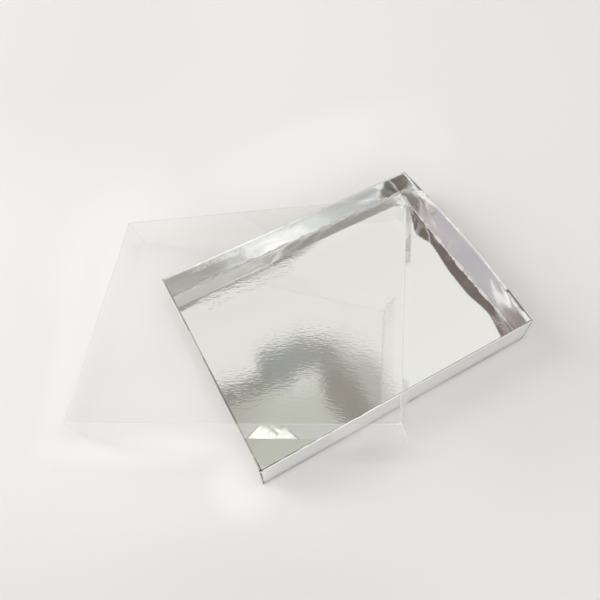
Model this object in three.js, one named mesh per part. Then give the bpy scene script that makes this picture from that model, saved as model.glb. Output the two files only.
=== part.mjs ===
// A shallow gift box in two folded parts: a tray of mirror foil card with double walls, and its clear film
// lid, taken off and leaning on the tray's rim with one edge on the table.
// Millimetres, +Z up. The origin is the middle of the tray's underside, and X runs along its long side.

import * as THREE from "three";

// Tray, outside.
const TRAY_LENGTH = 160;
const TRAY_WIDTH = 120;
const TRAY_HEIGHT = 20;

// One layer of card. The corner flaps lie inside the end walls with some play on each face.
const CARD = 0.4;
const FLAP_PLAY = 0.15;
const FLAP_LENGTH = 25;
const FLAP_TRIM = 0.8;

// The right end wall has sprung out of true. Its rim bows outwards between the corners, and its inner layer
// stands off the outer one over the back flap and towards the front corner.
const BOW_OUT = 2.6;
const SPRUNG_RIM_MIDDLE = 1.5;
const SPRUNG_RIM_BACK = 4;
const SPRUNG_RIM_FRONT = 4.4;
const SPRUNG_TAPER_BACK = 5;
const SPRUNG_TAPER_FRONT = 34;
const BOW_STEPS = 24;

// Lid. It slips over the tray with this play all round, and stops short of the table when it is on.
const FILM = 0.3;
const LID_PLAY = 0.7;
const LID_FOOT_GAP = 0.5;
const LID_TAB_LENGTH = 14;
const LID_TAB_TRIM = 1;
const GLUE = 0.05;

// How the lid leans. The middle of its left bottom edge stands on the table this far to the left of the
// tray's left wall and this far in front of its back wall, and the lid is turned clockwise seen from above.
const LID_OUT_LEFT = 32.4;
const LID_IN_FRONT = 5.5;
const LID_TURN_DEGREES = 35;
const LID_REST_GAP = 0.3;

// Sizes that follow from those above.
const END_WALL = 3 * CARD + 2 * FLAP_PLAY;
const LONG_WALL = 2 * CARD;
const WALL_TOP = TRAY_HEIGHT - CARD;
const LID_LENGTH = TRAY_LENGTH + 2 * (LID_PLAY + FILM);
const LID_WIDTH = TRAY_WIDTH + 2 * (LID_PLAY + FILM);
const LID_HEIGHT = TRAY_HEIGHT + FILM - LID_FOOT_GAP;

const foilCard = new THREE.MeshStandardMaterial({ color: 0xdcdcd8, roughness: 0.08, metalness: 1 });
const clearFilm = new THREE.MeshStandardMaterial({
  color: 0xf4f6f6,
  roughness: 0.05,
  metalness: 0,
  transparent: true,
  opacity: 0.25,
});

// A closed solid through a row of four-cornered sections. Each section lists its corners so that they run
// anticlockwise when seen from the far end of the row.
function loft(sections) {
  const corners = sections[0].length;
  const last = (sections.length - 1) * corners;
  const index = [];
  for (let i = 0; i < last; i += corners)
    for (let j = 0; j < corners; j++) {
      const a = i + j;
      const b = i + ((j + 1) % corners);
      index.push(a, b, b + corners, a, b + corners, a + corners);
    }
  for (let j = 1; j < corners - 1; j++) {
    index.push(0, j + 1, j);
    index.push(last, last + j, last + j + 1);
  }
  const geometry = new THREE.BufferGeometry();
  geometry.setAttribute("position", new THREE.Float32BufferAttribute(sections.flat(2), 3));
  geometry.setIndex(index);
  const flat = geometry.toNonIndexed();
  flat.computeVertexNormals();
  return flat;
}

// A box from its lowest to its highest corner.
function block(low, high) {
  const size = high.map((h, i) => h - low[i]);
  const middle = high.map((h, i) => (h + low[i]) / 2);
  return new THREE.BoxGeometry(...size).translate(...middle);
}

function part(name, geometry, material) {
  const mesh = new THREE.Mesh(geometry, material);
  mesh.name = name;
  return mesh;
}

// A wall's own frame: x runs along its foot from its left end as seen from outside, y goes in from its outer
// face, and z is up.
function wallFrame(x, y, quarterTurns) {
  const frame = new THREE.Group();
  frame.position.set(x, y, 0);
  frame.rotation.z = (quarterTurns * Math.PI) / 2;
  return frame;
}

// A straight long wall: its outer layer stops short of the end walls' outer layers, its inner layer stops at
// the corner flaps, and its rim runs from corner to corner.
function longWall(side, frame) {
  const outerEnd = CARD + FLAP_PLAY;
  const innerEnd = END_WALL - CARD;
  const outer = block([outerEnd, 0, 0], [TRAY_LENGTH - outerEnd, CARD, WALL_TOP]);
  const inner = block([innerEnd, CARD, CARD], [TRAY_LENGTH - innerEnd, LONG_WALL, WALL_TOP]);
  const rim = block([0, 0, WALL_TOP], [TRAY_LENGTH, LONG_WALL, TRAY_HEIGHT]);
  frame.add(part(`tray_${side}_wall_outer`, outer, foilCard));
  frame.add(part(`tray_${side}_wall_inner`, inner, foilCard));
  frame.add(part(`tray_${side}_rim`, rim, foilCard));
  return frame;
}

// Places along an end wall, from one distance to another.
function stations(from, to, steps) {
  return Array.from({ length: steps + 1 }, (_, i) => from + ((to - from) * i) / steps);
}

// An end wall: bow(x) is how far its rim stands out, and rimWidth(x) is how wide that rim is. The corner flaps
// of the long walls lie between its layers and follow them.
function endWall(side, frame, bow, rimWidth, flapNames) {
  const sheet = (from, to, steps, low, high, footIn, topIn) =>
    loft(
      stations(from, to, steps).map((x) => [
        [x, footIn, low],
        [x, footIn + CARD, low],
        [x, topIn(x) + CARD, high],
        [x, topIn(x), high],
      ]),
    );
  const outer = sheet(0, TRAY_WIDTH, BOW_STEPS, 0, WALL_TOP, 0, (x) => -bow(x));
  const innerTop = (x) => rimWidth(x) - bow(x) - CARD;
  const inner = sheet(LONG_WALL, TRAY_WIDTH - LONG_WALL, BOW_STEPS, CARD, WALL_TOP, END_WALL - CARD, innerTop);
  const rim = loft(
    stations(LONG_WALL, TRAY_WIDTH - LONG_WALL, BOW_STEPS).map((x) => [
      [x, -bow(x), WALL_TOP],
      [x, rimWidth(x) - bow(x), WALL_TOP],
      [x, rimWidth(x) - bow(x), TRAY_HEIGHT],
      [x, -bow(x), TRAY_HEIGHT],
    ]),
  );
  frame.add(part(`tray_${side}_wall_outer`, outer, foilCard));
  frame.add(part(`tray_${side}_wall_inner`, inner, foilCard));
  frame.add(part(`tray_${side}_rim`, rim, foilCard));

  const flapIn = CARD + FLAP_PLAY;
  const flapLow = CARD + FLAP_TRIM;
  const flapHigh = WALL_TOP - FLAP_TRIM;
  const followIn = (x, z) => flapIn - (bow(x) * z) / WALL_TOP;
  const starts = [CARD, TRAY_WIDTH - CARD - FLAP_LENGTH];
  starts.forEach((start, i) => {
    const flap = loft(
      stations(start, start + FLAP_LENGTH, BOW_STEPS / 4).map((x) => [
        [x, followIn(x, flapLow), flapLow],
        [x, followIn(x, flapLow) + CARD, flapLow],
        [x, followIn(x, flapHigh) + CARD, flapHigh],
        [x, followIn(x, flapHigh), flapHigh],
      ]),
    );
    frame.add(part(flapNames[i], flap, foilCard));
  });
  return frame;
}

// The sprung wall's shape, x from its front corner.
function sprungBow(x) {
  return BOW_OUT * Math.sin((Math.PI * x) / TRAY_WIDTH);
}

function sprungRimWidth(x) {
  const fromBack = TRAY_WIDTH - x;
  const overFlap = Math.min(fromBack / FLAP_LENGTH, 1);
  const pastFlap = THREE.MathUtils.smoothstep(fromBack, FLAP_LENGTH, FLAP_LENGTH + SPRUNG_TAPER_BACK);
  const back = (SPRUNG_RIM_BACK - SPRUNG_RIM_MIDDLE) * overFlap * (1 - pastFlap);
  const nearFront = 1 - THREE.MathUtils.smoothstep(x, 0, SPRUNG_TAPER_FRONT);
  const front = (SPRUNG_RIM_FRONT - SPRUNG_RIM_MIDDLE) * nearFront;
  return SPRUNG_RIM_MIDDLE + back + front;
}

function makeTray() {
  const tray = new THREE.Group();
  const halfLength = TRAY_LENGTH / 2;
  const halfWidth = TRAY_WIDTH / 2;
  const floorX = halfLength - CARD;
  const floorY = halfWidth - CARD;
  tray.add(part("tray_floor", block([-floorX, -floorY, 0], [floorX, floorY, CARD]), foilCard));
  tray.add(longWall("front", wallFrame(-halfLength, -halfWidth, 0)));
  tray.add(longWall("back", wallFrame(halfLength, halfWidth, 2)));
  const rightFlaps = ["tray_flap_front_right", "tray_flap_back_right"];
  const leftFlaps = ["tray_flap_back_left", "tray_flap_front_left"];
  const straight = () => 0;
  const even = () => END_WALL;
  tray.add(endWall("right", wallFrame(halfLength, -halfWidth, 1), sprungBow, sprungRimWidth, rightFlaps));
  tray.add(endWall("left", wallFrame(-halfLength, halfWidth, 3), straight, even, leftFlaps));
  return tray;
}

// The lid in its own frame: x from its left wall, y from its middle, z up from its open mouth.
function makeLid() {
  const lid = new THREE.Group();
  const side = LID_WIDTH / 2;
  const wallTop = LID_HEIGHT - FILM;
  const farEnd = LID_LENGTH - FILM;
  lid.add(part("lid_top", block([0, -side, wallTop], [LID_LENGTH, side, LID_HEIGHT]), clearFilm));
  lid.add(part("lid_left_wall", block([0, -side, 0], [FILM, side, wallTop]), clearFilm));
  lid.add(part("lid_right_wall", block([farEnd, -side, 0], [LID_LENGTH, side, wallTop]), clearFilm));
  lid.add(part("lid_front_wall", block([FILM, -side, 0], [farEnd, FILM - side, wallTop]), clearFilm));
  lid.add(part("lid_back_wall", block([FILM, side - FILM, 0], [farEnd, side, wallTop]), clearFilm));
  for (const [end, x] of [["left", FILM + GLUE], ["right", farEnd - GLUE - FILM]])
    for (const [long, y] of [["front", FILM - side], ["back", side - FILM - LID_TAB_LENGTH]]) {
      const low = [x, y, LID_TAB_TRIM];
      const high = [x + FILM, y + LID_TAB_LENGTH, wallTop - LID_TAB_TRIM];
      lid.add(part(`lid_tab_${long}_${end}`, block(low, high), clearFilm));
    }
  return lid;
}

// How far along the lid's foot a straight foot edge, at y across the lid, first comes over the tray. The edge
// is clipped against the tray's outline seen from above.
function reachOfTray(corner, along, across, y) {
  const start = corner.clone().addScaledVector(across, y);
  let enter = 0;
  let leave = LID_LENGTH;
  for (const [axis, half] of [["x", TRAY_LENGTH / 2], ["y", TRAY_WIDTH / 2]]) {
    const ends = [-half, half].map((limit) => (limit - start[axis]) / along[axis]);
    enter = Math.max(enter, Math.min(...ends));
    leave = Math.min(leave, Math.max(...ends));
  }
  return enter < leave ? enter : LID_LENGTH;
}

// The lid where it leans: turned on the table, then lifted about its left foot edge until its long walls' feet
// clear the tray's rim by the rest gap.
function leaningLid() {
  const foot = new THREE.Vector2(-TRAY_LENGTH / 2 - LID_OUT_LEFT, TRAY_WIDTH / 2 - LID_IN_FRONT);
  const turn = -THREE.MathUtils.degToRad(LID_TURN_DEGREES);
  const along = new THREE.Vector2(Math.cos(turn), Math.sin(turn));
  const across = new THREE.Vector2(-along.y, along.x);
  const feet = [LID_WIDTH / 2, LID_WIDTH / 2 - FILM, FILM - LID_WIDTH / 2, -LID_WIDTH / 2];
  const reach = Math.min(...feet.map((y) => reachOfTray(foot, along, across, y)));
  const tilted = makeLid();
  tilted.rotation.y = -Math.atan2(TRAY_HEIGHT + LID_REST_GAP, reach);
  const turned = new THREE.Group();
  turned.add(tilted);
  turned.rotation.z = turn;
  turned.position.set(foot.x, foot.y, 0);
  return turned;
}

const box = new THREE.Group();
box.add(makeTray());
box.add(leaningLid());

export default box;
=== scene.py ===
"""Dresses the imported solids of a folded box: a mirror foil card tray and the clear film lid leaning on it."""

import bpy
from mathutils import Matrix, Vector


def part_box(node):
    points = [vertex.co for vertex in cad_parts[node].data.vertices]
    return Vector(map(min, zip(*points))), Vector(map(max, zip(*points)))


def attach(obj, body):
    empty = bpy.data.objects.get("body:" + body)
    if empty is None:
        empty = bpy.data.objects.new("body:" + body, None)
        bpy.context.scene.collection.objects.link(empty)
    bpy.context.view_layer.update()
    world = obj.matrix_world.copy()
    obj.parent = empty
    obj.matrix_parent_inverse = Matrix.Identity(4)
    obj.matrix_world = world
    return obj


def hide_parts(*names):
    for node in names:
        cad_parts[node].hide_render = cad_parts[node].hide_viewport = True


bl_info = {
    "name": "Folded Foil Box",
    "version": (1, 0, 0),
    "blender": (4, 5, 0),
    "location": "View3D > Sidebar > Foil Box",
    "description": "Builds a foil card tray, its clear film lid and a pale studio round the packed frame",
    "category": "Object",
}

import math

import bmesh
import bpy
from mathutils import Matrix, Vector, noise

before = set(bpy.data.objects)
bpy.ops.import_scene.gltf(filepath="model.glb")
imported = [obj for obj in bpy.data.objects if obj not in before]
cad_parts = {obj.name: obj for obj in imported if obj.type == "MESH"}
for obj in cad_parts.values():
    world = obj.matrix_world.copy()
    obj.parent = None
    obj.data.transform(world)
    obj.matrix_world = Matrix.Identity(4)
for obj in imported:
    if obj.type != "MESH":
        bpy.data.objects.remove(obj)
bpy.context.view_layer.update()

MM = 0.001

# How far the pale floor sheet reaches each way, and how far it lies under the tray, in metres.
SHEET_REACH = 4.0
SHEET_GAP = 0.00005

FRONT_RIM_LOW, FRONT_RIM_HIGH = (Vector(corner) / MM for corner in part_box("tray_front_rim"))
LEFT_RIM_LOW, LEFT_RIM_HIGH = (Vector(corner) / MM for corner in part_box("tray_left_rim"))
HALF_LENGTH = FRONT_RIM_HIGH.x
HALF_WIDTH = -FRONT_RIM_LOW.y
RIM_HEIGHT = FRONT_RIM_HIGH.z
LONG_WALL = FRONT_RIM_HIGH.y - FRONT_RIM_LOW.y
END_WALL = LEFT_RIM_HIGH.x - LEFT_RIM_LOW.x
CARD = Vector(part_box("tray_floor")[1]).z / MM
INNER_HALF_WIDTH = HALF_WIDTH - LONG_WALL
INNER_HALF_LENGTH = HALF_LENGTH - END_WALL

# The gap between two walls' layers at a corner, in millimetres.
SEAM = 0.12

# How a wall's block is cut: strips in millimetres from its foot, its rim and its ends, and even cuts.
FOOT_LINE = 0.75
FOOT_STRIP = 1.0
RIM_STRIP = 1.0
END_STRIP = 0.6
STRAIGHT_WALL_CUTS = (90, 12)
SPRUNG_WALL_CUTS = (160, 22)

# An inner layer's cut edge before it is fitted to the floor: its low and high corners across the wall,
# how far it stops short of the wall's ends, and its slices.
CUT_EDGE_LOW = (-0.25, 0.2)
CUT_EDGE_HIGH = (0.2, 1.0)
CUT_EDGE_SHORT = 0.5
CUT_EDGE_SLICES = 140

# Where the sprung wall's layers part, in millimetres from each corner, and the share of a wall's
# thickness that counts as its outer side.
BACK_GAP_START = 3.0
BACK_GAP_WIDEST = 21.5
BACK_GAP_END = 34.0
FRONT_GAP_END = 34.0
OUTER_SIDE = 0.4

# Where the foil is painted dark along the rims' outer rolls, as a painted dark reflection, and how dark the
# paint is there.
ROLL_DEPTH = 0.5
LEFT_ROLL = (0.2, 0.75)
FRONT_ROLL = (-0.5, 0.2)
BRIGHT_SPRUNG_ROLL = (-38.0, 43.0)
DARK_FRONT_ROLL_END = -25.0
FULL_DARKENING = 1.0
STRONG_DARKENING = 0.8
FAINT = 0.45

# How the floor turns up: the right wall's share of the back wall's cove, what is left in its middle stretch,
# how slowly both start, and the length of the floor's slow waves in millimetres.
END_COVE_WIDTH = 0.85
END_COVE_RISE = 0.7
LOW_STRETCH = 0.13
COVE_CURVE = 1.35
WAVE_LENGTH = 45.0

# Where the floor's foil is loose and crinkles: its ends along X and how they fade, and its middle
# along Y with the half widths where the crinkles end and where they are full.
LOOSE_ENDS = (-70.0, 0.0)
LOOSE_FADE = 12.0
LOOSE_MIDDLE = 45.0
LOOSE_HALF_WIDTHS = (6.0, 2.0)

# How the foil is rippled, and the dark colour painted on its corner seams, as a painted dark reflection on its
# rolled rims and as a painted contact shadow at the front wall's foot.
RIPPLE_SCALE = 750.0
RIPPLE_STRETCH = 3.4
RIPPLE_TURN = math.radians(-29.5)
CRINKLE_DEPTH = 8.0
SEAM_AND_PAINTED_SHADE_COLOUR = (0.03, 0.028, 0.025)

# The studio's surroundings far from the soft shapes that the foil mirrors.
COOL_SKY = (1.32, 1.39, 1.48)
WARM_SKY = (0.54, 0.47, 0.36)
DARK_ROOM_BEHIND = (0.12, 0.11, 0.10)
DIM_ROOM_AT_RIGHT = (0.16, 0.15, 0.14)
WHITE_WALL_AT_LEFT = (1.7, 1.7, 1.7)
LOWEST_HEIGHT = 0.18


class TraySizes(bpy.types.PropertyGroup):
    """How the folded card of the tray departs from flat panels, in millimetres."""

    fold_radius: bpy.props.FloatProperty(
        name="Fold radius", description="Radius of the rolled folds along the rims", default=0.38, min=0.05)
    cove_width: bpy.props.FloatProperty(
        name="Cove width", description="Where the floor starts to turn up to a wall", default=13.5, min=0.5)
    cove_rise: bpy.props.FloatProperty(
        name="Cove rise", description="How far the floor has risen at the wall", default=1.25, min=0.0)
    floor_wave: bpy.props.FloatProperty(
        name="Floor wave", description="Height of the slow waves in the floor panel", default=0.03, min=0.0)
    wall_swell: bpy.props.FloatProperty(
        name="Wall swell", description="How far an inner wall layer bulges inwards", default=0.22, min=0.0)
    wall_crumple: bpy.props.FloatProperty(
        name="Wall crumple", description="Depth of the crumples in the inner layers", default=0.1, min=0.0)
    bow_out: bpy.props.FloatProperty(
        name="Bow", description="How far the sprung wall's rim bows out in the middle", default=2.6, min=0.0)
    rim_at_back: bpy.props.FloatProperty(
        name="Rim at back", description="Width of the sprung rim near the back corner", default=4.6, min=0.8)
    rim_at_front: bpy.props.FloatProperty(
        name="Rim at front", description="Width of the sprung rim at the front corner", default=3.7, min=0.8)
    raw_edge: bpy.props.FloatProperty(
        name="Raw edge", description="Height of the cut edge at an inner layer's foot", default=0.5, min=0.1)


class LidSizes(bpy.types.PropertyGroup):
    """The film lid and where it leans, in millimetres."""

    length: bpy.props.FloatProperty(name="Length", description="Outside length of the lid", default=162.0)
    width: bpy.props.FloatProperty(name="Width", description="Outside width of the lid", default=122.0)
    height: bpy.props.FloatProperty(name="Height", description="Outside height of the lid", default=19.8)
    film: bpy.props.FloatProperty(name="Film", description="Thickness of the film", default=0.3, min=0.1)
    crease_radius: bpy.props.FloatProperty(
        name="Crease radius", description="Outside radius of the film's folds", default=0.7, min=0.31)
    top_sag: bpy.props.FloatProperty(
        name="Top sag", description="How far the middle of the top panel sags in", default=0.6, min=0.0)
    long_hollow: bpy.props.FloatProperty(
        name="Long hollow", description="How far a long wall's foot is drawn in", default=0.25, min=0.0)
    end_hollow: bpy.props.FloatProperty(
        name="End hollow", description="How far an end wall's foot is drawn in", default=0.2, min=0.0)
    turn: bpy.props.FloatProperty(
        name="Turn", description="How far the lid is turned to the tray", default=math.radians(-35.0),
        subtype="ANGLE", unit="ROTATION")
    tilt: bpy.props.FloatProperty(
        name="Tilt", description="How far the lid tilts up from the table", default=math.radians(14.751),
        subtype="ANGLE", unit="ROTATION")
    foot: bpy.props.FloatVectorProperty(
        name="Foot", description="Middle of the left foot edge, where the lid stands on the table",
        default=(-112.4, 54.5, 0.0), size=3)


class BoxColours(bpy.types.PropertyGroup):
    """Colours of the foil, the card, the film and the table."""

    foil: bpy.props.FloatVectorProperty(
        name="Foil", description="Colour of the mirror foil", default=(0.90, 0.90, 0.875),
        subtype="COLOR", min=0.0, max=1.0, size=3)
    card: bpy.props.FloatVectorProperty(
        name="Card", description="Colour of the card where it is cut or scuffed", default=(0.86, 0.84, 0.82),
        subtype="COLOR", min=0.0, max=1.0, size=3)
    film: bpy.props.FloatVectorProperty(
        name="Film", description="Tint that light takes on through the film", default=(0.996, 0.997, 0.995),
        subtype="COLOR", min=0.0, max=1.0, size=3)
    crease: bpy.props.FloatVectorProperty(
        name="Crease", description="Colour of the film where it is creased white", default=(0.90, 0.92, 0.93),
        subtype="COLOR", min=0.0, max=1.0, size=3)
    table: bpy.props.FloatVectorProperty(
        name="Table", description="Colour of the pale floor", default=(0.815, 0.80, 0.792),
        subtype="COLOR", min=0.0, max=1.0, size=3)


class StudioSettings(bpy.types.PropertyGroup):
    """The camera and the light."""

    camera_place: bpy.props.FloatVectorProperty(
        name="Camera place", description="Where the camera stands", default=(-0.094777, -0.138288, 0.300796),
        subtype="TRANSLATION", unit="LENGTH", size=3, precision=6)
    camera_turn: bpy.props.FloatVectorProperty(
        name="Camera turn", description="Euler angles of the camera",
        default=(math.radians(32.061), math.radians(0.102), math.radians(-29.479)),
        subtype="EULER", unit="ROTATION", size=3)
    lens: bpy.props.FloatProperty(
        name="Lens", description="Focal length on a 36 mm sensor, in millimetres", default=36.62)
    shift_x: bpy.props.FloatProperty(name="Shift X", description="Sideways shift", default=-0.025)
    shift_y: bpy.props.FloatProperty(name="Shift Y", description="Upward shift", default=-0.0237)
    sky: bpy.props.FloatProperty(
        name="Sky level", description="Brightness of the studio's even surroundings", default=1.0, min=0.0)
    window: bpy.props.FloatProperty(
        name="Window power", description="Power of the big soft window at the left", default=10.3,
        min=0.0, subtype="POWER", unit="POWER")
    window_size: bpy.props.FloatVectorProperty(
        name="Window size", description="Width and height of the soft window", default=(0.8, 0.9),
        min=0.01, unit="LENGTH", size=2)
    window_colour: bpy.props.FloatVectorProperty(
        name="Window colour", description="Colour of the window's light", default=(1.0, 0.985, 0.97),
        subtype="COLOR", min=0.0, max=1.0, size=3)
    window_place: bpy.props.FloatVectorProperty(
        name="Window place", description="Where the middle of the window is", default=(-0.95, 0.95, 0.7),
        subtype="TRANSLATION", unit="LENGTH", size=3)


def node(tree, kind, inputs=None, **settings):
    """Adds a node with its settings, and links or sets its inputs."""
    made = tree.nodes.new(kind)
    for key, value in settings.items():
        setattr(made, key, value)
    for key, value in (inputs or {}).items():
        socket = made.inputs[key]
        if isinstance(value, bpy.types.NodeSocket):
            tree.links.new(value, socket)
        else:
            socket.default_value = value
    return made


def number(tree, operation, *values, clamp=False):
    """A Math node's output."""
    fields = dict(enumerate(values))
    return node(tree, "ShaderNodeMath", fields, operation=operation, use_clamp=clamp).outputs[0]


def carried(tree, name):
    """An amount that the points of the mesh carry."""
    return node(tree, "ShaderNodeAttribute", attribute_name=name).outputs["Fac"]


def ramp(tree, value, low, high, to_low=0.0, to_high=1.0, smooth=True):
    """A value moved from one range to another, held inside it."""
    kind = "SMOOTHSTEP" if smooth else "LINEAR"
    fields = {"Value": value, "From Min": low, "From Max": high, "To Min": to_low, "To Max": to_high}
    return node(tree, "ShaderNodeMapRange", fields, interpolation_type=kind).outputs[0]


def noise_at(tree, place, scale, detail=2.0, roughness=0.5):
    """A Noise Texture's value at a place."""
    fields = {"Vector": place, "Scale": scale, "Detail": detail, "Roughness": roughness}
    return node(tree, "ShaderNodeTexNoise", fields).outputs[0]


def blend_colours(tree, share, first, second):
    """A colour mixed from two by a share."""
    return node(tree, "ShaderNodeMix", {0: share, 6: first, 7: second}, data_type="RGBA").outputs[2]


def opaque(colour):
    """A colour with an alpha of one."""
    return (*colour, 1.0)


class Layers:
    """A colour that soft-edged ovals are laid over one by one, on a plane that the shader looks up."""

    def __init__(self, tree, plane, colour):
        self.tree = tree
        self.plane = plane
        self.colour = colour

    def lay(self, centre, half, shade, turn=0.0, soft=0.35):
        """Lays an oval of one shade: half is half its length and width, and turn is in degrees."""
        moved = node(self.tree, "ShaderNodeMapping",
                     {"Vector": self.plane, "Location": (*centre, 0.0),
                      "Rotation": (0, 0, math.radians(turn)), "Scale": (*half, 1.0)}, vector_type="TEXTURE")
        reach = node(self.tree, "ShaderNodeVectorMath", {0: moved.outputs[0]}, operation="LENGTH")
        mask = ramp(self.tree, reach.outputs["Value"], 1.0 + soft, 1.0 - soft)
        self.colour = blend_colours(self.tree, mask, self.colour, opaque(shade))


def effect_group(name, outputs, **amounts):
    """A shader node group with a vector input, float inputs and float outputs, and its two end nodes."""
    group = bpy.data.node_groups.new(name, "ShaderNodeTree")
    group.interface.new_socket("Vector", in_out="INPUT", socket_type="NodeSocketVector")
    for label, default in amounts.items():
        socket = group.interface.new_socket(label, in_out="INPUT", socket_type="NodeSocketFloat")
        socket.default_value = default
    for label in outputs:
        group.interface.new_socket(label, in_out="OUTPUT", socket_type="NodeSocketFloat")
    return group, group.nodes.new("NodeGroupInput"), group.nodes.new("NodeGroupOutput")


def foil_ripple_group():
    """Orange peel of foil on card: fine ripples drawn out one way, and slower dents that crumpling leaves."""
    group, given, result = effect_group("foil_ripple", ["Height"], Ripple=1.0, Dents=0.0)
    place = given.outputs["Vector"]
    turned = node(group, "ShaderNodeMapping",
                  {"Vector": place, "Rotation": (0, 0, RIPPLE_TURN), "Scale": (RIPPLE_STRETCH, 1.0, 1.0)},
                  vector_type="TEXTURE")
    fine = noise_at(group, turned.outputs[0], RIPPLE_SCALE, detail=1.0)
    finer = noise_at(group, turned.outputs[0], 2.0 * RIPPLE_SCALE, detail=1.0)
    peel = number(group, "MULTIPLY_ADD", finer, 0.7, fine)
    dents = noise_at(group, place, 70.0, detail=1.0, roughness=0.4)
    creases = node(group, "ShaderNodeTexVoronoi", {"Vector": place, "Scale": 55.0},
                   feature="DISTANCE_TO_EDGE").outputs[0]
    facets = number(group, "MULTIPLY", number(group, "ADD", dents, creases), given.outputs["Dents"])
    height = number(group, "MULTIPLY_ADD", peel, given.outputs["Ripple"], facets)
    group.links.new(height, result.inputs["Height"])
    return group


def fold_wear_group():
    """Where handling has rubbed the surface: broken marks along folds, and a few loose scuffs."""
    group, given, result = effect_group("fold_wear", ["Mask", "Haze"], Fold=0.0, Amount=0.5)
    place = given.outputs["Vector"]
    broken = noise_at(group, place, 420.0, detail=4.0, roughness=0.65)
    patches = noise_at(group, place, 60.0)
    spread = number(group, "MULTIPLY", broken, patches)
    along_fold = number(group, "MULTIPLY", spread, given.outputs["Fold"])
    rubbed = number(group, "MULTIPLY", along_fold, given.outputs["Amount"])
    group.links.new(ramp(group, rubbed, 0.14, 0.24), result.inputs["Mask"])
    haze = noise_at(group, place, 35.0, detail=3.0, roughness=0.6)
    group.links.new(ramp(group, haze, 0.35, 0.75), result.inputs["Haze"])
    return group


def fine_dust_group():
    """A thin scatter of dust specks."""
    group, given, result = effect_group("fine_dust", ["Mask"], Density=0.5)
    specks = node(group, "ShaderNodeTexVoronoi", {"Vector": given.outputs["Vector"], "Scale": 260.0})
    spot = ramp(group, specks.outputs["Distance"], 0.06, 0.03)
    chance = node(group, "ShaderNodeSeparateColor", {"Color": specks.outputs["Color"]}).outputs[0]
    kept = ramp(group, chance, number(group, "SUBTRACT", 1.0, given.outputs["Density"]), 1.0)
    group.links.new(number(group, "MULTIPLY", spot, kept), result.inputs["Mask"])
    return group


def effect(tree, place, name, make, **amounts):
    """A node that shows a shared effect with its own amounts. The first call makes the effect."""
    group = bpy.data.node_groups.get(name) or make()
    return node(tree, "ShaderNodeGroup", {"Vector": place, **amounts}, node_tree=group)


def fresh_material(name):
    """An empty node material, its node tree and the place on the object."""
    material = bpy.data.materials.new(name)
    material.use_nodes = True
    tree = material.node_tree
    tree.nodes.clear()
    return material, tree, tree.nodes.new("ShaderNodeTexCoord").outputs["Object"]


def bumped(tree, height, depth):
    """The surface's direction on bumps of a depth in metres."""
    return node(tree, "ShaderNodeBump", {"Height": height, "Distance": depth}).outputs[0]


def shiny(tree, colour, rough, bump, metal=0.0):
    """A Principled shader on bumps."""
    fields = {"Base Color": colour, "Metallic": metal, "Roughness": rough, "Normal": bump}
    return node(tree, "ShaderNodeBsdfPrincipled", fields)


def cover_with(material, shader):
    """Links a shader to the material's surface."""
    node(material.node_tree, "ShaderNodeOutputMaterial", {"Surface": shader.outputs[0]})
    return material


def foil_material(name, ripple, dents, gloss, wear):
    """Mirror foil laminated on card: rippled, a little hazy, rubbed through to the card along its folds, with a
    painted dark reflection on the rolled rims and a painted contact shadow at the front wall's foot.
    """
    existing = bpy.data.materials.get(name)
    if existing:
        return existing
    colours = bpy.context.scene.box_colours
    material, tree, place = fresh_material(name)
    rippled = ramp(tree, carried(tree, "crinkle"), 0.0, 1.0, ripple, CRINKLE_DEPTH * ripple, smooth=False)
    broken = ramp(tree, noise_at(tree, place, 130.0), 0.36, 0.56, 0.5, 1.0)
    # Darkens the foil with a painted dark reflection along the rims' rolls, a painted contact shadow at the
    # front wall's foot, and dark corner seams.
    dark = number(tree, "MULTIPLY", carried(tree, "seam_and_shade"), broken)
    rub = effect(tree, place, "fold_wear", fold_wear_group, Fold=carried(tree, "fold"), Amount=wear)
    dust = effect(tree, place, "fine_dust", fine_dust_group, Density=0.06)
    bare = number(tree, "MAXIMUM", rub.outputs["Mask"], dust.outputs["Mask"])
    colour = blend_colours(tree, bare, opaque(colours.foil), opaque(colours.card))
    colour = blend_colours(tree, dark, colour, opaque(SEAM_AND_PAINTED_SHADE_COLOUR))
    ripples = effect(tree, place, "foil_ripple", foil_ripple_group, Ripple=rippled, Dents=dents)
    bump = bumped(tree, ripples.outputs["Height"], 0.00001)
    hazed = ramp(tree, rub.outputs["Haze"], 0.0, 1.0, gloss, gloss * 1.6, smooth=False)
    rough = number(tree, "MULTIPLY_ADD", bare, 0.5, hazed)
    return cover_with(material, shiny(tree, colour, rough, bump, number(tree, "SUBTRACT", 1.0, bare)))


def wall_foil():
    """The foil of the straight walls and of the flaps behind them."""
    return foil_material("wall_foil", ripple=1.0, dents=5.0, gloss=0.1, wear=0.5)


def card_material():
    """White card core, seen where the sheet has been cut."""
    colours = bpy.context.scene.box_colours
    material, tree, place = fresh_material("cut_card")
    fibre = noise_at(tree, place, 1800.0, detail=4.0, roughness=0.7)
    worn = ramp(tree, noise_at(tree, place, 90.0), 0.35, 0.8)
    darker = tuple(0.8 * part for part in colours.card)
    colour = blend_colours(tree, worn, opaque(colours.card), opaque(darker))
    rough = ramp(tree, fibre, 0.3, 0.7, 0.65, 0.9)
    return cover_with(material, shiny(tree, colour, rough, bumped(tree, fibre, 0.00006)))


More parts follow.
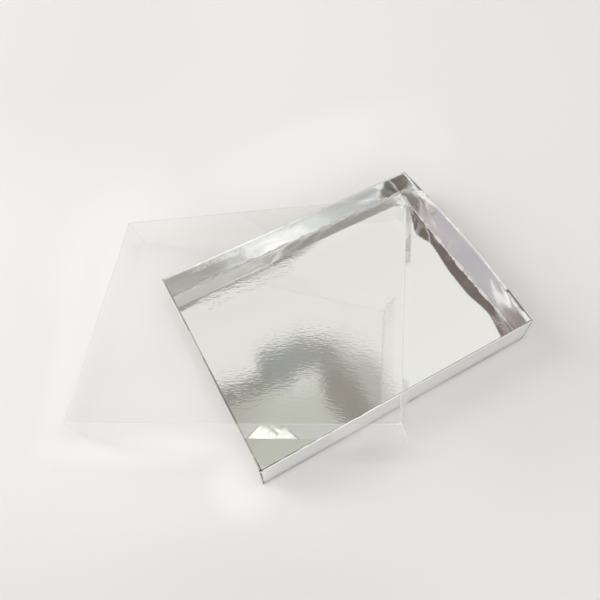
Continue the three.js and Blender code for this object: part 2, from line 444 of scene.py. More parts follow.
def film_material():
    """Clear film: light passes, its gloss grows at a glance, and its folds are whitened."""
    existing = bpy.data.materials.get("lid_film")
    if existing:
        return existing
    colours = bpy.context.scene.box_colours
    material, tree, place = fresh_material("lid_film")
    fold = carried(tree, "fold")
    dust = effect(tree, place, "fine_dust", fine_dust_group, Density=0.1)
    rub = effect(tree, place, "fold_wear", fold_wear_group, Fold=fold, Amount=1.0)
    uneven = ramp(tree, noise_at(tree, place, 45.0), 0.3, 0.7, 0.55, 1.0)
    white = number(tree, "MAXIMUM", number(tree, "MULTIPLY", fold, uneven), dust.outputs["Mask"])
    colour = blend_colours(tree, white, opaque((1.0, 1.0, 1.0)), opaque(colours.crease))
    bump = bumped(tree, noise_at(tree, place, 28.0, detail=1.0), 0.00012)
    rough = ramp(tree, rub.outputs["Haze"], 0.0, 1.0, 0.03, 0.09)
    shine = shiny(tree, colour, rough, bump, number(tree, "SUBTRACT", 1.0, white))
    clear = node(tree, "ShaderNodeBsdfTransparent", {"Color": opaque(colours.film)})
    facing = node(tree, "ShaderNodeLayerWeight", {"Blend": 0.5, "Normal": bump}).outputs["Facing"]
    glance = ramp(tree, number(tree, "POWER", facing, 3.6), 0.0, 1.0, 0.022, 0.6, smooth=False)
    share = number(tree, "MULTIPLY_ADD", white, 0.5, glance, clamp=True)
    mixed = node(tree, "ShaderNodeMixShader", {0: share, 1: clear.outputs[0], 2: shine.outputs[0]})
    return cover_with(material, mixed)


def table_material():
    """Smooth pale paper on the table, with painted shadows and painted pools of reflected light laid on it."""
    colours = bpy.context.scene.box_colours
    material, tree, place = fresh_material("pale_table")
    cloud = ramp(tree, noise_at(tree, place, 1.6), 0.3, 0.7)
    darker = tuple(0.985 * part for part in colours.table)
    paper = Layers(tree, place, blend_colours(tree, cloud, opaque(colours.table), opaque(darker)))

    # Paints a soft patch of light where the level is above one, and of shade where it is below one.
    def painted_light_patch(centre, half, level, turn=0.0):
        paper.lay(centre, half, tuple(level * part for part in colours.table), turn, soft=0.6)

    # Painted shadows on the open table, in front of the tray, behind it and at the left.
    painted_light_patch((0.072, -0.085), (0.055, 0.045), 0.94)
    painted_light_patch((-0.11, -0.105), (0.085, 0.032), 0.92, turn=-29)
    painted_light_patch((-0.075, 0.32), (0.11, 0.12), 0.93, turn=-29)
    painted_light_patch((-0.24, -0.07), (0.07, 0.06), 0.93, turn=-29)
    # Painted light that the outsides of the back and right walls throw on the table.
    painted_light_patch((0.05, 0.118), (0.075, 0.03), 1.06)
    painted_light_patch((0.118, 0.093), (0.02, 0.03), 1.03)
    # Painted pools of light that the film gathers under the lid and along its foot, and one at the tray's front
    # left corner.
    painted_light_patch((-0.09, 0.1), (0.035, 0.05), 1.07, turn=-30)
    painted_light_patch((-0.088, -0.054), (0.014, 0.016), 1.09)
    painted_light_patch((-0.131, 0.069), (0.063, 0.009), 1.04, turn=60)
    painted_light_patch((-0.122, -0.017), (0.044, 0.008), 1.07, turn=-29)
    # The painted thin shadow of the lid's front edge.
    painted_light_patch((-0.027, -0.074), (0.026, 0.004), 0.93, turn=-29)
    grain = noise_at(tree, place, 900.0, detail=3.0)
    return cover_with(material, shiny(tree, paper.colour, 0.75, bumped(tree, grain, 0.00002)))


def block_mesh(low, high):
    """A bmesh block between two corners, in millimetres."""
    mesh = bmesh.new()
    bmesh.ops.create_cube(mesh, size=1.0)
    size = Vector(high) - Vector(low)
    middle = (Vector(high) + Vector(low)) / 2
    bmesh.ops.scale(mesh, vec=size, verts=mesh.verts)
    bmesh.ops.translate(mesh, vec=middle, verts=mesh.verts)
    return mesh


def slice_mesh(mesh, axis, stations):
    """Cuts every face where it crosses the stations along an axis."""
    normal = Vector((0, 0, 0))
    normal[axis] = 1.0
    for station in stations:
        everything = mesh.verts[:] + mesh.edges[:] + mesh.faces[:]
        bmesh.ops.bisect_plane(mesh, geom=everything, dist=1e-5, plane_co=normal * station, plane_no=normal)


def round_edges(mesh, chosen, radius, segments):
    """Rounds the chosen edges."""
    bmesh.ops.bevel(mesh, geom=chosen, offset=radius, offset_type="OFFSET", segments=segments, profile=0.5,
                    affect="EDGES", material=-1)


def held(share):
    """A share kept between 0 and 1."""
    return min(max(share, 0.0), 1.0)


def fade(value, start, end):
    """0 at the start and 1 at the end, with soft ends. The end may lie below the start."""
    share = held((value - start) / (end - start))
    return share * share * (3.0 - 2.0 * share)


def between(low, high, count):
    """Evenly spaced stations strictly between two values."""
    return [low + (high - low) * (step + 1) / (count + 1) for step in range(count)]


def add_object(name, data):
    """A new object in the scene."""
    made = bpy.data.objects.new(name, data)
    bpy.context.scene.collection.objects.link(made)
    return made


def add_mesh(name, mesh, material):
    """A new object in the scene with the shape of a bmesh, which is then freed."""
    data = bpy.data.meshes.new(name)
    mesh.to_mesh(data)
    mesh.free()
    data.materials.append(material)
    return add_object(name, data)


def finish_piece(name, mesh, body, material, nodes=(), fold=None, seam_and_shade=None, crinkle=None, sharp=35.0):
    """Turns a bmesh in millimetres into a finished piece that rides on its body."""
    for label, amount in (("fold", fold), ("seam_and_shade", seam_and_shade), ("crinkle", crinkle)):
        layer = mesh.verts.layers.float.new(label)
        for vert in mesh.verts:
            vert[layer] = amount(vert.co) if amount else 0.0
    for face in mesh.faces:
        face.smooth = True
    for edge in mesh.edges:
        edge.smooth = len(edge.link_faces) == 2 and edge.calc_face_angle() < math.radians(sharp)
    bmesh.ops.scale(mesh, vec=(MM, MM, MM), verts=mesh.verts)
    piece = add_mesh(name, mesh, material)
    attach(piece, body)
    if nodes:
        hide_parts(*nodes)
    return piece


def ridged(x, y, seed):
    """Sharp crumple ridges, from 0 in the hollows to 1 on the ridges."""
    return 1.0 - abs(noise.noise(Vector((x, y, seed)))) * 2.0


def wall_block(half_span, thickness, slices, levels):
    """A double wall: length along X, inner face at Y 0, outer face at Y thickness, rolled over at the top."""
    sizes = bpy.context.scene.tray_sizes
    mesh = block_mesh((-half_span, 0, 0), (half_span, thickness, RIM_HEIGHT))
    top = [e for e in mesh.edges
           if all(v.co.z > RIM_HEIGHT - 0.01 for v in e.verts) and abs(e.verts[0].co.x - e.verts[1].co.x) > 1]
    bottom = [e for e in mesh.edges
              if all(v.co.z < 0.01 and v.co.y > thickness - 0.01 for v in e.verts)]
    round_edges(mesh, top + bottom, sizes.fold_radius, 4)
    last = half_span - END_STRIP
    under_rim = RIM_HEIGHT - RIM_STRIP
    slice_mesh(mesh, 0, between(-half_span, half_span, slices) + [-last, last])
    slice_mesh(mesh, 2, [FOOT_LINE, FOOT_STRIP, *between(0, under_rim, levels), under_rim, RIM_HEIGHT - CARD])
    return mesh


def lengthen(mesh, half_span, extra, chosen):
    """Pushes the chosen part of both end faces out by an extra length."""
    for sign in (-1, 1):
        end = [f for f in mesh.faces
               if f.normal.x * sign > 0.99 and abs(abs(f.calc_center_median().x) - half_span) < 0.01]
        cap = [f for f in end if chosen(f.calc_center_median())]
        moved = bmesh.ops.extrude_face_region(mesh, geom=cap)["geom"]
        bmesh.ops.delete(mesh, geom=cap, context="FACES")
        corners = [v for v in moved if isinstance(v, bmesh.types.BMVert)]
        bmesh.ops.translate(mesh, vec=(sign * extra, 0, 0), verts=corners)


def long_wall_block():
    """A long wall: its rim covers the corners, and its layers stop short of the end walls' outer layers."""
    short = HALF_LENGTH - CARD - SEAM
    mesh = wall_block(short, LONG_WALL, *STRAIGHT_WALL_CUTS)
    lengthen(mesh, short, HALF_LENGTH - short, lambda place: place.z > RIM_HEIGHT - CARD)
    return mesh


def end_wall_block(slices, levels):
    """An end wall: its outer layer runs on across both corners, under the long walls' rims."""
    mesh = wall_block(INNER_HALF_WIDTH, END_WALL, slices, levels)
    slice_mesh(mesh, 1, [END_WALL - CARD])
    lengthen(mesh, INNER_HALF_WIDTH, LONG_WALL,
             lambda place: place.y > END_WALL - CARD and place.z < RIM_HEIGHT - CARD)
    return mesh


def inner_swell(along, height, seed):
    """How far the inner layer stands off at a point of the wall, in millimetres."""
    sizes = bpy.context.scene.tray_sizes
    belly = math.sin(math.pi * held(height / RIM_HEIGHT))
    slow = 0.6 + 0.8 * noise.noise(Vector((along / 38.0, seed, 0.3)))
    crumple = ridged(along / 17.0 + height / 22.0, height / 13.0, seed + 4.1) - 0.6
    return belly * (sizes.wall_swell * slow + sizes.wall_crumple * crumple)


def stand_on_side(mesh, out, turn):
    """Moves a strip made along X out from the middle, and turns it round to its side of the tray."""
    bmesh.ops.translate(mesh, vec=(0, out, 0), verts=mesh.verts)
    turned = Matrix.Rotation(math.radians(turn), 3, "Z")
    bmesh.ops.rotate(mesh, cent=(0, 0, 0), matrix=turned, verts=mesh.verts)


def finish_wall(side, mesh, out, turn, foil):
    """Stands a double wall on its side of the tray, in place of its two layers and its rim."""
    stand_on_side(mesh, out, turn)
    parts = [f"tray_{side}_wall_outer", f"tray_{side}_wall_inner", f"tray_{side}_rim"]
    finish_piece(f"tray_{side}_wall", mesh, "tray", foil, nodes=parts,
                 fold=lambda place: near_fold(place.z), seam_and_shade=seam_and_painted_shade)


def near_fold(height):
    """1 along the rolled rim, fading below it."""
    return held((height - RIM_HEIGHT + 0.9) / 0.6)


def seam_and_painted_shade(place):
    """How dark the foil is painted: a painted dark reflection on the rims' outer rolls, dark corner seams, and
    a painted contact shadow along the front wall's foot.
    """
    if place.z > RIM_HEIGHT - ROLL_DEPTH:
        return rim_painted_reflection(place)
    at_corner = abs(place.y) > HALF_WIDTH - 0.05 and abs(place.x) > HALF_LENGTH - CARD - SEAM - 0.01
    # A painted contact shadow where the front wall stands on the table.
    in_front_foot_shadow = place.y < 0.3 - HALF_WIDTH and place.z < FOOT_LINE + 0.05
    return FULL_DARKENING if at_corner or in_front_foot_shadow else 0.0


def rim_painted_reflection(place):
    """How dark the foil is painted at a place on one of the four rims, a painted stand-in for the dark
    reflection along the outer roll.
    """
    if place.y > HALF_WIDTH - CARD:
        return FULL_DARKENING
    if place.x > HALF_LENGTH - ROLL_DEPTH and not within(place.y, BRIGHT_SPRUNG_ROLL):
        return STRONG_DARKENING
    if within(-place.x - INNER_HALF_LENGTH, LEFT_ROLL):
        return STRONG_DARKENING
    if within(place.y + INNER_HALF_WIDTH, FRONT_ROLL):
        return FULL_DARKENING if place.x < DARK_FRONT_ROLL_END else FAINT
    return 0.0


def within(value, limits):
    """Whether a value lies between two limits."""
    return limits[0] < value < limits[1]


def floor_height(x, y):
    """The floor's top side: slow waves, turning up at the back wall and at both ends of the right wall."""
    sizes = bpy.context.scene.tray_sizes
    near_end = held(1.0 - (INNER_HALF_LENGTH - x) / (END_COVE_WIDTH * sizes.cove_width))
    near_back = held(1.0 - (INNER_HALF_WIDTH - y) / sizes.cove_width)
    raised_behind = 0.75 * fade(y, -8.0, 22.0) + 0.8 * fade(y, 20.0, 42.0)
    raised_before = fade(y, -18.0, -42.0)
    raised = LOW_STRETCH + (1.0 - LOW_STRETCH) * max(raised_behind, raised_before)
    end_turn = END_COVE_RISE * raised * near_end ** COVE_CURVE
    back_turn = near_back ** COVE_CURVE
    turn_up = (end_turn ** 3 + back_turn ** 3) ** (1 / 3)
    lift = 1.0 + 0.15 * fade(x + y, -20.0, 100.0)
    wave = noise.noise(Vector((x / WAVE_LENGTH, y / WAVE_LENGTH, 2.7)))
    return CARD + sizes.cove_rise * lift * turn_up + sizes.floor_wave * wave


class BOX_OT_tray_floor(bpy.types.Operator):
    """Makes the floor panel, which turns up a little where it meets the walls."""

    bl_idname = "foil_box.tray_floor"
    bl_label = "Tray floor"

    def execute(self, context):
        mesh = bmesh.new()
        bmesh.ops.create_grid(mesh, x_segments=160, y_segments=120, size=1.0)
        reach = (INNER_HALF_LENGTH + 0.3, INNER_HALF_WIDTH + 0.2, 1.0)
        bmesh.ops.scale(mesh, vec=reach, verts=mesh.verts)
        for vert in mesh.verts:
            vert.co.z = floor_height(vert.co.x, vert.co.y)
        rim = [e for e in mesh.edges if e.is_boundary]
        skirt = bmesh.ops.extrude_edge_only(mesh, edges=rim)["geom"]
        lower = [v for v in skirt if isinstance(v, bmesh.types.BMVert)]
        for vert in lower:
            vert.co.z = 0.0
        bmesh.ops.edgeloop_fill(mesh, edges=[e for e in mesh.edges if e.is_boundary])
        bmesh.ops.recalc_face_normals(mesh, faces=mesh.faces)
        foil = foil_material("floor_foil", ripple=1.0, dents=0.0, gloss=0.05, wear=0.0)
        finish_piece("tray_floor_panel", mesh, "tray", foil, nodes=["tray_floor"],
                     crinkle=self.loose_foil)
        return {"FINISHED"}

    def loose_foil(self, place):
        """1 where the foil has come loose from the card beside the back wall, and crinkles."""
        left, right = LOOSE_ENDS
        along = fade(place.x, left, left + LOOSE_FADE) * fade(place.x, right, right - LOOSE_FADE)
        return along * fade(abs(place.y - LOOSE_MIDDLE), *LOOSE_HALF_WIDTHS)


class BOX_OT_straight_walls(bpy.types.Operator):
    """Makes the front, back and left double walls, each rolled over at its rim."""

    bl_idname = "foil_box.straight_walls"
    bl_label = "Straight walls"

    def execute(self, context):
        foil = wall_foil()
        plans = (
            ("front", long_wall_block(), LONG_WALL, INNER_HALF_WIDTH, 180.0, 11.3),
            ("back", long_wall_block(), LONG_WALL, INNER_HALF_WIDTH, 0.0, 5.2),
            ("left", end_wall_block(*STRAIGHT_WALL_CUTS), END_WALL, INNER_HALF_LENGTH, 90.0, 8.6),
        )
        for side, mesh, thickness, out, turn, seed in plans:
            for vert in mesh.verts:
                if vert.co.y < thickness * (1.0 - OUTER_SIDE):
                    vert.co.y -= inner_swell(vert.co.x, vert.co.z, seed)
            finish_wall(side, mesh, out, turn, foil)
        return {"FINISHED"}


class BOX_OT_sprung_wall(bpy.types.Operator):
    """Makes the right double wall, whose rim has sprung outwards."""

    bl_idname = "foil_box.sprung_wall"
    bl_label = "Sprung wall"

    def execute(self, context):
        sizes = context.scene.tray_sizes
        foil = foil_material("sprung_foil", ripple=1.2, dents=16.0, gloss=0.1, wear=0.6)
        mesh = end_wall_block(*SPRUNG_WALL_CUTS)
        span = 2 * INNER_HALF_WIDTH
        for vert in mesh.verts:
            from_back = INNER_HALF_WIDTH + vert.co.x
            from_front = span - from_back
            rise = vert.co.z / RIM_HEIGHT
            bow = sizes.bow_out * math.sin(math.pi * from_back / span)
            at_back = (fade(from_back, BACK_GAP_START, BACK_GAP_WIDEST)
                       * fade(from_back, BACK_GAP_END, BACK_GAP_WIDEST))
            at_front = fade(from_front, FRONT_GAP_END, 0.0)
            gap = (sizes.rim_at_back - END_WALL) * at_back + (sizes.rim_at_front - END_WALL) * at_front
            inward = 1.0 - vert.co.y / END_WALL
            vert.co.y += (bow - gap * inward) * rise
            if inward > OUTER_SIDE:
                vert.co.y -= inner_swell(vert.co.x, vert.co.z, 21.7) * inward
                vert.co.y += self.pinches(vert.co.x, vert.co.z) * inward
        finish_wall("right", mesh, INNER_HALF_LENGTH, -90.0, foil)
        return {"FINISHED"}

    def pinches(self, along, height):
        """Sharp-edged dents that springing has left in the inner face."""
        return (pinch(along, height, centre=(-24.0, 10.0), reach=(9.0, 7.0), depth=0.26)
                + pinch(along, height, centre=(-9.0, 7.0), reach=(6.0, 6.0), depth=-0.16)
                + pinch(along, height, centre=(25.0, 9.0), reach=(10.0, 7.0), depth=0.28)
                + pinch(along, height, centre=(40.0, 12.0), reach=(9.0, 6.0), depth=-0.18))


def pinch(along, height, centre, reach, depth):
    """A cone-shaped dent in a wall, or a bump where its depth is negative: how deep it is at a point."""
    away = math.hypot((along - centre[0]) / reach[0], (height - centre[1]) / reach[1])
    return depth * max(0.0, 1.0 - away)


class BOX_OT_raw_edges(bpy.types.Operator):
    """Makes the white cut edges of the inner layers, which show unevenly where they stand on the floor."""

    bl_idname = "foil_box.raw_edges"
    bl_label = "Raw edges"

    def execute(self, context):
        sizes = context.scene.tray_sizes
        card = card_material()
        plans = (("right", INNER_HALF_WIDTH - CUT_EDGE_SHORT, INNER_HALF_LENGTH, -90.0, 3.1),
                 ("back", INNER_HALF_LENGTH - CUT_EDGE_SHORT, INNER_HALF_WIDTH, 0.0, 7.9))
        for side, half_span, out, turn, seed in plans:
            mesh = block_mesh((-half_span, *CUT_EDGE_LOW), (half_span, *CUT_EDGE_HIGH))
            slice_mesh(mesh, 0, between(-half_span, half_span, CUT_EDGE_SLICES))
            stand_on_side(mesh, out, turn)
            middle = (CUT_EDGE_LOW[1] + CUT_EDGE_HIGH[1]) / 2
            upper = [v for v in mesh.verts if v.co.z > middle]
            for vert in upper:
                shown = self.shown_height(vert.co.x + vert.co.y, seed)
                vert.co.z = floor_height(vert.co.x, vert.co.y) + sizes.raw_edge * shown
            finish_piece(f"tray_{side}_cut_edge", mesh, "tray", card)
        return {"FINISHED"}

    def shown_height(self, along, seed):
        """How much of the cut edge shows, from a thin line to a tooth, in heights of a raw edge."""
        ragged = noise.noise(Vector((along / 2.6, seed, 0.0)))
        slow = noise.noise(Vector((along / 7.0, seed, 5.0)))
        return 0.3 + 2.9 * fade(ragged + slow, -0.15, 0.15)


def dress_corners(kind, material):
    """Gives the four corner nodes of one kind, which keep their CAD shape, their material."""
    for end in ("front", "back"):
        for side in ("left", "right"):
            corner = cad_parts[f"{kind}_{end}_{side}"]
            corner.data.materials.clear()
            corner.data.materials.append(material)


class BOX_OT_corner_flaps(bpy.types.Operator):
    """Gives the hidden corner flaps their foil."""

    bl_idname = "foil_box.corner_flaps"
    bl_label = "Corner flaps"

    def execute(self, context):
        dress_corners("tray_flap", wall_foil())
        return {"FINISHED"}


def lid_place():
    """Where the lid leans, as a matrix in millimetres."""
    sizes = bpy.context.scene.lid_sizes
    turn = Matrix.Rotation(sizes.turn, 4, "Z")
    tilt = Matrix.Rotation(-sizes.tilt, 4, "Y")
    return Matrix.Translation(sizes.foot) @ turn @ tilt


class BOX_OT_lid_shell(bpy.types.Operator):
    """Makes the film shell of the lid: a top panel and four walls folded from one sheet."""

    bl_idname = "foil_box.lid_shell"
    bl_label = "Lid shell"

    def execute(self, context):
        sizes = context.scene.lid_sizes
        half = sizes.width / 2
        mesh = block_mesh((0, -half, 0), (sizes.length, half, sizes.height))
        mouth = [f for f in mesh.faces if f.normal.z < -0.5]
        bmesh.ops.delete(mesh, geom=mouth, context="FACES_ONLY")
        folds = [e for e in mesh.edges if len(e.link_faces) == 2]
        round_edges(mesh, folds, sizes.crease_radius, 3)
        beside = 2.0 * sizes.crease_radius
        slice_mesh(mesh, 0, between(0, sizes.length, 40) + [beside, sizes.length - beside])
        slice_mesh(mesh, 1, between(-half, half, 30) + [beside - half, half - beside])
        slice_mesh(mesh, 2, between(0, sizes.height, 5) + [sizes.height - beside])
        for vert in mesh.verts:
            self.bend(vert, sizes, half)
        bmesh.ops.recalc_face_normals(mesh, faces=mesh.faces)
        bmesh.ops.solidify(mesh, geom=mesh.faces, thickness=sizes.film)
        mesh.verts.index_update()
        whitened = [self.crease(vert.co, sizes, half) for vert in mesh.verts]
        bmesh.ops.transform(mesh, matrix=lid_place(), verts=mesh.verts)
        panels = ["lid_top", "lid_left_wall", "lid_right_wall", "lid_front_wall", "lid_back_wall"]
        piece = finish_piece(
            "lid_shell", mesh, "lid", film_material(), nodes=panels, sharp=40.0)
        for index, value in enumerate(whitened):
            piece.data.attributes["fold"].data[index].value = value
        return {"FINISHED"}

    def crease(self, place, sizes, half):
        """How far folding has whitened the film: most at the right end, and nothing away from the folds."""
        to_end = min(place.x, sizes.length - place.x)
        to_side = half - abs(place.y)
        to_top = sizes.height - place.z
        to_fold = sorted((to_end, to_side, to_top))[1]
        strength = 1.0 if sizes.length - place.x < 3.0 else 0.3
        return strength * fade(to_fold, sizes.film + sizes.crease_radius, sizes.film)

    def bend(self, vert, sizes, half):
        """Sags the top panel and hollows the walls a little."""
        along = held(vert.co.x / sizes.length)
        across = held((vert.co.y + half) / sizes.width)
        up = held(vert.co.z / sizes.height)
        if vert.co.z > sizes.height - 0.01:
            belly = math.sin(math.pi * along) * math.sin(math.pi * across)
            ripple = noise.noise(Vector((vert.co.x / 60.0, vert.co.y / 60.0, 9.1)))
            vert.co.z -= sizes.top_sag * (belly ** 0.6) * (0.8 + 0.5 * ripple)
        if abs(abs(vert.co.y) - half) < 0.01:
            hollow = sizes.long_hollow * math.sin(math.pi * along) * (1.0 - up)
            vert.co.y -= math.copysign(hollow, vert.co.y)
        if min(abs(vert.co.x), abs(vert.co.x - sizes.length)) < 0.01:
            inward = 1.0 if vert.co.x < sizes.length / 2 else -1.0
            vert.co.x += inward * sizes.end_hollow * math.sin(math.pi * across) * (1.0 - up)


class BOX_OT_lid_tabs(bpy.types.Operator):
    """Gives the four corner tabs, which hold the lid's walls together, their film."""

    bl_idname = "foil_box.lid_tabs"
    bl_label = "Lid tabs"

    def execute(self, context):
        dress_corners("lid_tab", film_material())
        return {"FINISHED"}


class BOX_OT_studio(bpy.types.Operator):
    """Makes the pale floor, the even surroundings, the soft window light and the camera."""

    bl_idname = "foil_box.studio"
    bl_label = "Studio"

    def execute(self, context):
        settings = context.scene.studio_settings
        self.lay_table()
        self.fill_surroundings(context, settings)
        self.hang_window(settings)
        self.set_camera(context, settings)
        context.scene.view_settings.view_transform = "Standard"
        context.scene.cycles.transparent_max_bounces = 32
        return {"FINISHED"}

    def lay_table(self):
        """A large sheet of pale paper, just under the tray."""
        mesh = bmesh.new()
        bmesh.ops.create_grid(mesh, x_segments=8, y_segments=8, size=SHEET_REACH)
        bmesh.ops.translate(mesh, vec=(0, 0, -SHEET_GAP), verts=mesh.verts)
        table = add_mesh("table_sheet", mesh, table_material())

    def fill_surroundings(self, context, settings):
        """Bright surroundings with the soft shapes that the foil mirrors, laid out as on a plane overhead."""
        world = bpy.data.worlds.new("soft_surroundings")
        context.scene.world = world
        world.use_nodes = True
        tree = world.node_tree
        tree.nodes.clear()
        facing = node(tree, "ShaderNodeTexCoord").outputs["Generated"]
        parts = node(tree, "ShaderNodeSeparateXYZ", {0: facing})
        height = number(tree, "MAXIMUM", parts.outputs[2], LOWEST_HEIGHT)
        side = number(tree, "DIVIDE", parts.outputs[0], height)
        depth = number(tree, "DIVIDE", parts.outputs[1], height)
        overhead = node(tree, "ShaderNodeCombineXYZ", {0: side, 1: depth}).outputs[0]
        across = ramp(tree, depth, -3.0, 3.0, smooth=False)
        colour = blend_colours(tree, across, opaque(COOL_SKY), opaque(WARM_SKY))
        for way, start, end, shade in (
            (depth, 0.95, 2.2, DARK_ROOM_BEHIND),
            (side, 0.95, 2.2, DIM_ROOM_AT_RIGHT),
            (side, -1.9, -3.2, WHITE_WALL_AT_LEFT),
        ):
            colour = blend_colours(tree, ramp(tree, way, start, end), colour, opaque(shade))
        stray = node(tree, "ShaderNodeTexNoise", {"Vector": overhead, "Scale": 14.0, "Detail": 1.0})
        shift = node(tree, "ShaderNodeVectorMath", {0: stray.outputs["Color"], 1: (0.5, 0.5, 0.5)},
                     operation="SUBTRACT").outputs[0]
        wavering = node(tree, "ShaderNodeVectorMath", {0: shift, 1: (0.04, 0.04, 0.0), 2: overhead},
                        operation="MULTIPLY_ADD").outputs[0]
        sky = Layers(tree, wavering, colour)
        self.shapes_in_floor(sky)
        self.shapes_in_back_wall(sky)
        self.shapes_in_sprung_wall(sky)
        self.shapes_in_corner(sky)
        self.bright_windows(sky)
        background = node(tree, "ShaderNodeBackground", {"Color": sky.colour, "Strength": settings.sky})
        node(tree, "ShaderNodeOutputWorld", {"Surface": background.outputs[0]})

    def shapes_in_floor(self, sky):
        """The grey arch that the tray's floor mirrors."""
        # Its greenish inside, and its right leg with a darker core.
        sky.lay((0.1, 0.29), (0.15, 0.11), (0.55, 0.56, 0.5), soft=0.28)
        sky.lay((0.265, 0.33), (0.055, 0.1), (0.48, 0.46, 0.43), soft=0.32)
        sky.lay((0.246, 0.3), (0.03, 0.13), (0.28, 0.26, 0.23), soft=0.22)
        # Its top, from right to left, and its tail at the left.
        sky.lay((0.24, 0.412), (0.04, 0.03), (0.31, 0.3, 0.29), turn=-35, soft=0.16)
        sky.lay((0.205, 0.432), (0.045, 0.036), (0.32, 0.32, 0.31), turn=-15, soft=0.13)
        sky.lay((0.168, 0.437), (0.038, 0.043), (0.32, 0.33, 0.33), soft=0.12)
        sky.lay((0.078, 0.417), (0.08, 0.021), (0.23, 0.235, 0.205), turn=-6, soft=0.2)

    def shapes_in_back_wall(self, sky):
        """The greys and the sheen on the back wall, and the band beside it in the floor."""
        # The wall's darker left part and its paler right part.
        sky.lay((0.13, -0.92), (0.16, 0.22), (0.47, 0.46, 0.45), soft=0.4)
        sky.lay((0.5, -0.95), (0.17, 0.24), (0.6, 0.61, 0.63), soft=0.45)
        # The slanted sheen between them, with its bright core.
        sky.lay((0.375, -0.97), (0.25, 0.1), (0.92, 0.94, 0.98), turn=-64, soft=0.6)
        sky.lay((0.3, -0.95), (0.27, 0.045), (1.45, 1.45, 1.53), turn=-62, soft=0.55)
        # The band in the floor, paler at the left and browner at the right.
        sky.lay((0.113, -0.34), (0.102, 0.147), (0.61, 0.6, 0.58), soft=0.44)
        sky.lay((0.36, -0.312), (0.19, 0.1), (0.36, 0.34, 0.32))
        sky.lay((0.32, -0.275), (0.06, 0.08), (0.3, 0.28, 0.255), soft=0.5)
        # The wall again, where it darkens towards the right corner.
        sky.lay((0.605, -1.015), (0.065, 0.08), (0.51, 0.52, 0.54), soft=0.5)

    def shapes_in_sprung_wall(self, sky):
        """The lilac and brown on the sprung wall, and the dark band beside it in the floor."""
        # The smooth lilac stretch.
        sky.lay((-1.35, 0.0), (0.5, 0.48), (0.62, 0.57, 0.58), soft=0.3)
        sky.lay((-1.0, 0.56), (0.55, 0.28), (0.6, 0.56, 0.63), soft=0.3)
        sky.lay((-1.4, 0.82), (0.212, 0.12), (0.66, 0.57, 0.6), soft=0.32)
        # The browner foot of the wall and of its dents.
        sky.lay((-0.83, 0.3), (0.35, 0.12), (0.49, 0.42, 0.41), soft=0.5)
        sky.lay((-0.57, 0.39), (0.18, 0.075), (0.42, 0.36, 0.35), soft=0.4)
        sky.lay((-0.8, 0.47), (0.095, 0.044), (0.62, 0.57, 0.66), soft=0.55)
        # The dark band, with one light streak.
        sky.lay((-0.24, 0.39), (0.28, 0.08), (0.19, 0.15, 0.14), soft=0.4)
        sky.lay((-0.43, 0.54), (0.11, 0.09), (0.16, 0.13, 0.13), soft=0.3)
        sky.lay((-0.18, 0.55), (0.17, 0.04), (0.17, 0.14, 0.14), soft=0.3)
        sky.lay((-0.52, 0.19), (0.21, 0.135), (0.19, 0.155, 0.14), soft=0.3)
        sky.lay((-0.79, 0.68), (0.07, 0.055), (0.15, 0.13, 0.12))
        sky.lay((-0.2, 0.49), (0.07, 0.022), (0.8, 0.77, 0.8), soft=0.4)

    def shapes_in_corner(self, sky):
        """The dark room in the back right corner, and the light at its foot."""
        sky.lay((-0.8, -0.88), (0.55, 0.42), (0.3, 0.26, 0.25), soft=0.2)
        sky.lay((-1.06, -0.96), (0.2, 0.13), (0.2, 0.16, 0.15), soft=0.4)
        sky.lay((-0.72, -0.64), (0.25, 0.15), (0.33, 0.28, 0.27), soft=0.4)
        sky.lay((-0.4, -0.34), (0.15, 0.12), (0.66, 0.61, 0.61), soft=0.45)
        sky.lay((-0.53, -0.54), (0.12, 0.06), (0.37, 0.34, 0.32), soft=0.5)
        sky.lay((-0.46, -0.7), (0.13, 0.1), (0.14, 0.13, 0.12), soft=0.4)
        sky.lay((-0.2, -0.43), (0.07, 0.08), (1.15, 1.12, 1.15), soft=0.4)

    def bright_windows(self, sky):
        """Small bright shapes: one that the corner shows, and two that the lid's front wall shows."""
        sky.lay((0.578, 0.63), (0.05, 0.04), (1.1, 1.08, 1.08), soft=0.32)
        sky.lay((0.19, -0.01), (0.13, 0.225), (4.2, 4.2, 4.1), soft=0.1)
        sky.lay((-0.24, 0.2), (0.035, 0.06), (3.0, 3.0, 2.95), soft=0.3)

    def hang_window(self, settings):
        """A big soft window high on the left."""
        lamp = bpy.data.lights.new("left_window", "AREA")
        lamp.shape = "RECTANGLE"
        lamp.size, lamp.size_y = settings.window_size
        lamp.energy = settings.window
        lamp.color = settings.window_colour
        window = add_object("left_window", lamp)
        window.location = settings.window_place
        window.visible_glossy = False
        window.rotation_euler = (-window.location).to_track_quat("-Z", "Y").to_euler()

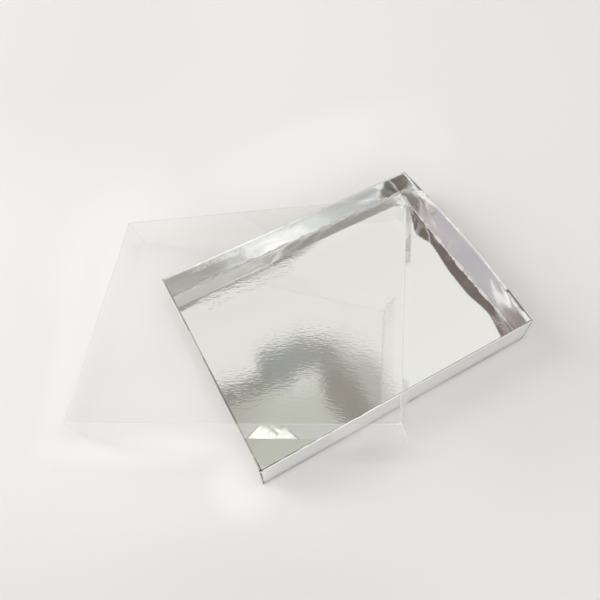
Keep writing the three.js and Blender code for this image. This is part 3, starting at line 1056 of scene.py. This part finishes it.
    def set_camera(self, context, settings):
        """The camera at the photograph's place and angle."""
        lens = bpy.data.cameras.new("photo_camera")
        lens.lens = settings.lens
        lens.sensor_width = 36.0
        lens.shift_x = settings.shift_x
        lens.shift_y = settings.shift_y
        lens.clip_start = 0.01
        camera = add_object("photo_camera", lens)
        camera.location = settings.camera_place
        camera.rotation_euler = settings.camera_turn
        context.scene.camera = camera


class BOX_PT_panel(bpy.types.Panel):
    """Lists the box's sizes, colours and pieces in the 3D view's sidebar."""

    bl_idname = "BOX_PT_panel"
    bl_label = "Foil Box"
    bl_space_type = "VIEW_3D"
    bl_region_type = "UI"
    bl_category = "Foil Box"

    def draw(self, context):
        for group in ("tray_sizes", "lid_sizes", "box_colours", "studio_settings"):
            values = getattr(context.scene, group)
            box = self.layout.box()
            for name in values.__annotations__:
                box.prop(values, name)
        for maker in MAKERS:
            self.layout.operator(maker.bl_idname)


GROUPS = {
    "tray_sizes": TraySizes,
    "lid_sizes": LidSizes,
    "box_colours": BoxColours,
    "studio_settings": StudioSettings,
}
MAKERS = (
    BOX_OT_studio,
    BOX_OT_tray_floor,
    BOX_OT_straight_walls,
    BOX_OT_sprung_wall,
    BOX_OT_raw_edges,
    BOX_OT_corner_flaps,
    BOX_OT_lid_shell,
    BOX_OT_lid_tabs,
)


def register():
    """Registers the classes and puts the settings on the scene."""
    for kind in (*GROUPS.values(), *MAKERS, BOX_PT_panel):
        bpy.utils.register_class(kind)
    for name, kind in GROUPS.items():
        setattr(bpy.types.Scene, name, bpy.props.PointerProperty(type=kind))


def unregister():
    """Takes the settings and the classes away again."""
    for name in GROUPS:
        delattr(bpy.types.Scene, name)
    for kind in (BOX_PT_panel, *reversed(MAKERS), *GROUPS.values()):
        bpy.utils.unregister_class(kind)


def main():
    """Builds every piece in order."""
    register()
    bpy.ops.foil_box.studio()
    bpy.ops.foil_box.tray_floor()
    bpy.ops.foil_box.straight_walls()
    bpy.ops.foil_box.sprung_wall()
    bpy.ops.foil_box.raw_edges()
    bpy.ops.foil_box.corner_flaps()
    bpy.ops.foil_box.lid_shell()
    bpy.ops.foil_box.lid_tabs()
    bpy.context.view_layer.update()


if __name__ == "__main__":
    main()
